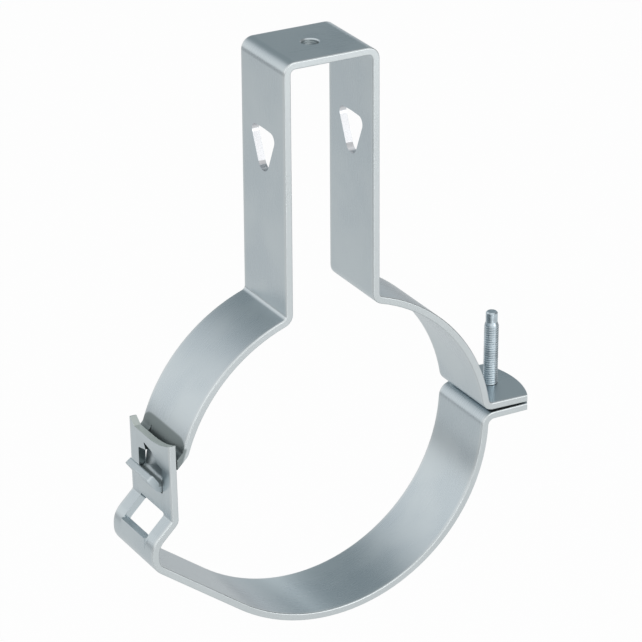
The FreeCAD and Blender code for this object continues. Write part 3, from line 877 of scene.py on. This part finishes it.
def patch_of_room(graph, direction, middle, stops):
    """A colour for each direction: the ramp runs over the cosine of the angle from the patch's
    middle."""
    settings = {"operation": "DOT_PRODUCT"}
    inputs = {0: direction, 1: Vector(middle).normalized()}
    turn = graph.node("ShaderNodeVectorMath", settings, inputs).out("Value")
    return graph.node("ShaderNodeValToRGB", {"stops": stops}, {"Fac": turn}).out("Color")


def set_world():
    """A room that is white to the camera, and for light and reflections pale all round but for two
    grey patches, one up behind the clamp and one beside its screw."""
    world = bpy.context.scene.world or bpy.data.worlds.new("studio")
    bpy.context.scene.world = world
    world.use_nodes = True
    graph = Graph(world.node_tree)
    direction = graph.node("ShaderNodeTexCoord").out("Generated")
    behind = patch_of_room(graph, direction, PATCH_BEHIND, PATCH_BEHIND_STOPS)
    beside = patch_of_room(graph, direction, PATCH_BESIDE, PATCH_BESIDE_STOPS)
    room = graph.blend(1.0, behind, beside, "MULTIPLY")
    rays = graph.node("ShaderNodeLightPath")
    colour = graph.blend(rays.out("Is Camera Ray"), room, opaque(WHITE))
    background = graph.node("ShaderNodeBackground", None, {"Color": colour, "Strength": 1.0})
    graph.node("ShaderNodeOutputWorld", None, {"Surface": background.out("Background")})


def add_lamp(name, place, width, height, power):
    """A soft lamp that faces the clamp."""
    data = bpy.data.lights.new(name, "AREA")
    data.shape = "RECTANGLE"
    data.size = width
    data.size_y = height
    data.energy = power
    lamp = bpy.data.objects.new(name, data)
    lamp.location = place
    aim = bpy.context.scene.clamp_stage.target
    lamp.rotation_euler = (Vector(place) - Vector(aim)).to_track_quat("Z", "Y").to_euler()
    bpy.context.scene.collection.objects.link(lamp)


def add_camera():
    """The camera on its sphere about the target: its back, right and up axes come from azimuth,
    elevation and roll."""
    stage = bpy.context.scene.clamp_stage
    turn, rise, roll = stage.azimuth, stage.elevation, stage.roll
    level = math.cos(rise)
    back = Vector((math.sin(turn) * level, -math.cos(turn) * level, math.sin(rise)))
    right = Vector((math.cos(turn), math.sin(turn), 0.0))
    up = back.cross(right)
    rolled_right = math.cos(roll) * right + math.sin(roll) * up
    rolled_up = -math.sin(roll) * right + math.cos(roll) * up
    turned = Matrix((rolled_right, rolled_up, back)).transposed().to_4x4()
    data = bpy.data.cameras.new("clamp_camera")
    data.sensor_width = SENSOR_WIDTH
    data.lens = stage.lens
    data.clip_start, data.clip_end = CAMERA_CLIP
    camera = bpy.data.objects.new("clamp_camera", data)
    camera.matrix_world = Matrix.Translation(Vector(stage.target) + stage.distance * back) @ turned
    bpy.context.scene.collection.objects.link(camera)
    bpy.context.scene.camera = camera


class PIPECLAMP_OT_set_stage(bpy.types.Operator):
    """Set the floor, the room's light, the lamps and the camera"""

    bl_idname = "pipe_clamp.set_stage"
    bl_label = "Set stage"

    def execute(self, context):
        stage = context.scene.clamp_stage
        context.scene.view_settings.view_transform = "Standard"
        set_world()
        add_floor(stage.floor_drop)
        for name, (place, width, height, share) in LAMPS.items():
            add_lamp(name, place, width, height, share * stage.lamp_power)
        add_camera()
        return {"FINISHED"}


class PIPECLAMP_PT_sidebar(bpy.types.Panel):
    """Lists the clamp's operators and settings"""

    bl_label = "Pipe clamp"
    bl_idname = "PIPECLAMP_PT_sidebar"
    bl_space_type = "VIEW_3D"
    bl_region_type = "UI"
    bl_category = "Pipe clamp"

    def draw(self, context):
        for operator in OPERATORS:
            self.layout.operator(operator.bl_idname)
        scene = context.scene
        for group in (scene.clamp_finish, scene.clamp_threads, scene.clamp_stage):
            box = self.layout.box()
            for name in group.__annotations__:
                box.prop(group, name)


GROUPS = (ClampFinish, ClampThreads, ClampStage)
OPERATORS = (
    PIPECLAMP_OT_finish_strips,
    PIPECLAMP_OT_finish_washer,
    PIPECLAMP_OT_cut_screw,
    PIPECLAMP_OT_cut_rod_thread,
    PIPECLAMP_OT_set_stage,
)
CLASSES = (*GROUPS, *OPERATORS, PIPECLAMP_PT_sidebar)


def register():
    """Registers the classes and the scene's settings."""
    for each in CLASSES:
        bpy.utils.register_class(each)
    bpy.types.Scene.clamp_finish = bpy.props.PointerProperty(type=ClampFinish)
    bpy.types.Scene.clamp_threads = bpy.props.PointerProperty(type=ClampThreads)
    bpy.types.Scene.clamp_stage = bpy.props.PointerProperty(type=ClampStage)


def unregister():
    """Takes the settings and the classes away again."""
    del bpy.types.Scene.clamp_stage
    del bpy.types.Scene.clamp_threads
    del bpy.types.Scene.clamp_finish
    for each in reversed(CLASSES):
        bpy.utils.unregister_class(each)


def main():
    """Registers the add-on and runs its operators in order."""
    register()
    bpy.ops.pipe_clamp.finish_strips()
    bpy.ops.pipe_clamp.finish_washer()
    bpy.ops.pipe_clamp.cut_screw()
    bpy.ops.pipe_clamp.cut_rod_thread()
    bpy.ops.pipe_clamp.set_stage()


if __name__ == "__main__":
    main()
